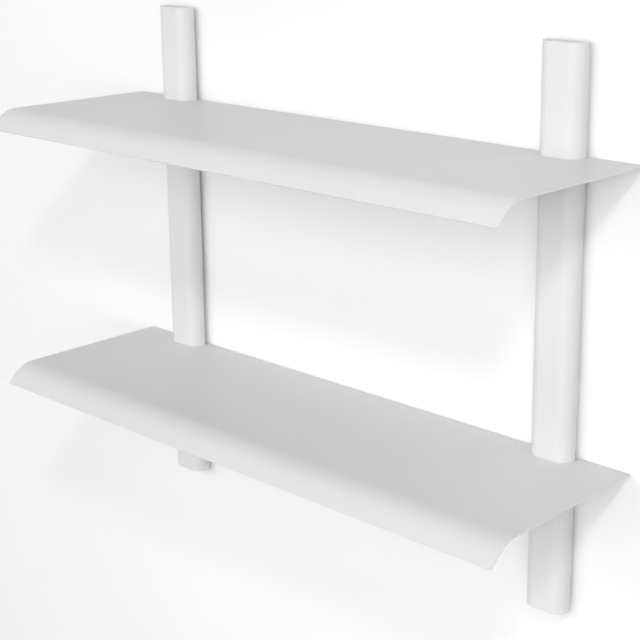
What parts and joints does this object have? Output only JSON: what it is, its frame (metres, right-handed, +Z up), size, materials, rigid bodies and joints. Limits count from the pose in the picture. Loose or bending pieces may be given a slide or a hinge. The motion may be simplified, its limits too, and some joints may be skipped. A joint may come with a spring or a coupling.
{
  "type": "wall shelf",
  "caption": "White metal wall shelf: bent sheet shelves with a sloping front lip, clamped at any height on smooth extruded uprights that hang on wall rails.",
  "frame": {"origin": "on the wall plane, in the middle of the four wall-screw holes of the two rails", "axes": "+X to the right along the shelves, +Y into the wall, +Z up; the room is towards -Y"},
  "size_m": [0.8, 0.244, 0.64],
  "materials": {
    "shelf_coat": "satin white powder coat on steel sheet",
    "bracket_coat": "satin white powder coat on steel sheet",
    "upright_coat": "satin white powder coat on extruded aluminium",
    "rail_aluminium": "mill-finish extrusion",
    "block_aluminium": "sawn bar",
    "cap_plastic": "moulded white plastic",
    "pad_plastic": "natural plastic",
    "plated_steel": "zinc plated"
  },
  "bodies": {
    "frame": {"left_wall_rail": "rail_aluminium", "left_upright": "upright_coat", "left_hanger_block": "block_aluminium", "left_top_cap": "cap_plastic", "left_bottom_cap": "cap_plastic", "right_wall_rail": "rail_aluminium", "right_upright": "upright_coat", "right_hanger_block": "block_aluminium", "right_top_cap": "cap_plastic", "right_bottom_cap": "cap_plastic", "hanger_screws": "plated_steel"},
    "upper_shelf_set": {"upper_shelf": "shelf_coat", "upper_left_bracket": "bracket_coat", "upper_left_clamp_bar": "plated_steel", "upper_right_bracket": "bracket_coat", "upper_right_clamp_bar": "plated_steel", "upper_clamp_screws": "plated_steel", "upper_clamp_pads": "pad_plastic", "upper_shelf_studs": "plated_steel", "upper_shelf_nuts": "plated_steel"},
    "lower_shelf_set": {"lower_shelf": "shelf_coat", "lower_left_bracket": "bracket_coat", "lower_left_clamp_bar": "plated_steel", "lower_right_bracket": "bracket_coat", "lower_right_clamp_bar": "plated_steel", "lower_clamp_screws": "plated_steel", "lower_clamp_pads": "pad_plastic", "lower_shelf_studs": "plated_steel", "lower_shelf_nuts": "plated_steel"}
  },
  "joints": [
    {"name": "upper_shelf_height", "type": "slide", "parent": "frame", "child": "upper_shelf_set", "axis": [0, 0, 1], "range_m": [-0.14, 0.085]},
    {"name": "lower_shelf_height", "type": "slide", "parent": "frame", "child": "lower_shelf_set", "axis": [0, 0, 1], "range_m": [-0.15, 0.14]}
  ]
}
